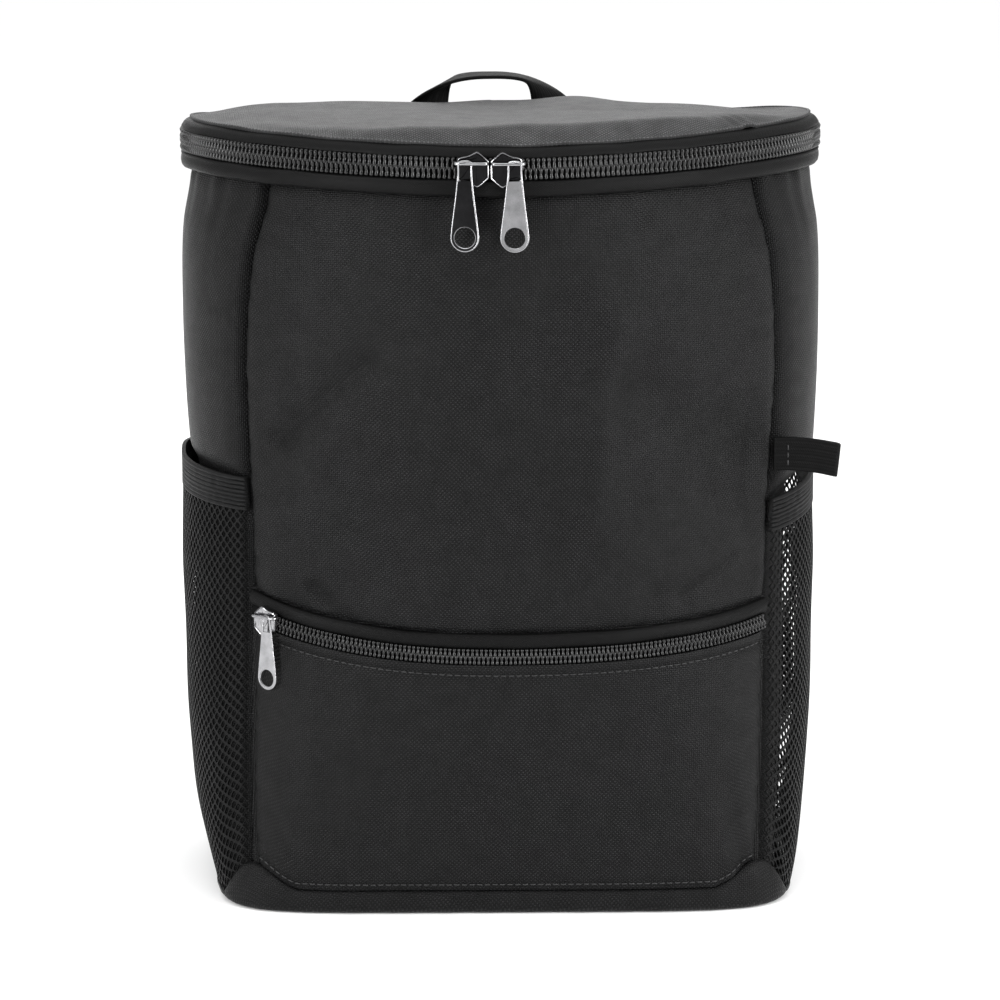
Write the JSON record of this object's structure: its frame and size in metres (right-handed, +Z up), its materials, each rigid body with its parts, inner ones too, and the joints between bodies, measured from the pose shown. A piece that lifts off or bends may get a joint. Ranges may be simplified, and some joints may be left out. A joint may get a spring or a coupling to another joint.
{
  "type": "cooler backpack",
  "caption": "Insulated cooler backpack with a zipped lid, a zipped front pocket, open net side pockets, a carry handle and padded shoulder straps; its zip pulls swing",
  "frame": {"origin": "on the flat underside of the base panel, below the middle of the bag's width and 20 mm in front of its widest line", "axes": "+Z up, -Y towards the front pocket, +X to the right as seen from the front"},
  "size_m": [0.2895, 0.2014, 0.3608],
  "materials": {
    "body_cloth": "woven polyester, matte with a slight sheen",
    "zip_coil": "black nylon coil on woven tape",
    "net": "open knitted net",
    "elastic": "ribbed elastic tape",
    "webbing": "flat woven webbing",
    "zip_metal": "dark nickel, polished",
    "strap_pad": "padded woven polyester",
    "buckle_plastic": "moulded black plastic"
  },
  "bodies": {
    "bag": {"front_panel": "body_cloth", "side_panel_left": "body_cloth", "side_panel_right": "body_cloth", "back_panel": "body_cloth", "base_panel": "body_cloth", "lid_panel": "body_cloth", "lid_strip": "body_cloth", "body_strip": "body_cloth", "main_zip": "zip_coil", "front_pocket": "body_cloth", "pocket_flap": "body_cloth", "pocket_zip": "zip_coil", "mesh_pocket_left": "net", "mesh_pocket_right": "net", "mesh_hem_left": "elastic", "mesh_hem_right": "elastic", "carry_handle": "webbing", "side_loop": "webbing", "main_slider_left": "zip_metal", "main_slider_right": "zip_metal", "pocket_slider": "zip_metal", "shoulder_strap_left": "strap_pad", "shoulder_strap_right": "strap_pad", "strap_webbing_left": "webbing", "strap_webbing_right": "webbing", "strap_adjuster_left": "buckle_plastic", "strap_adjuster_right": "buckle_plastic", "strap_anchor_left": "webbing", "strap_anchor_right": "webbing"},
    "left_pull": {"main_pull_left": "zip_metal"},
    "right_pull": {"main_pull_right": "zip_metal"},
    "small_pull": {"pocket_pull": "zip_metal"}
  },
  "joints": [
    {"name": "main_pull_left_swing", "type": "hinge", "parent": "bag", "child": "left_pull", "pos_m": [-0.02519, -0.08779, 0.33956], "axis": [-0.991, 0.1335, 0], "range_deg": [0, 165]},
    {"name": "main_pull_right_swing", "type": "hinge", "parent": "bag", "child": "right_pull", "pos_m": [-0.00389, -0.08977, 0.33934], "axis": [-0.9987, 0.0509, 0], "range_deg": [0, 165]},
    {"name": "pocket_pull_swing", "type": "hinge", "parent": "bag", "child": "small_pull", "pos_m": [-0.11052, -0.05398, 0.13422], "axis": [-0.7517, 0.6595, 0], "range_deg": [0, 165]}
  ]
}
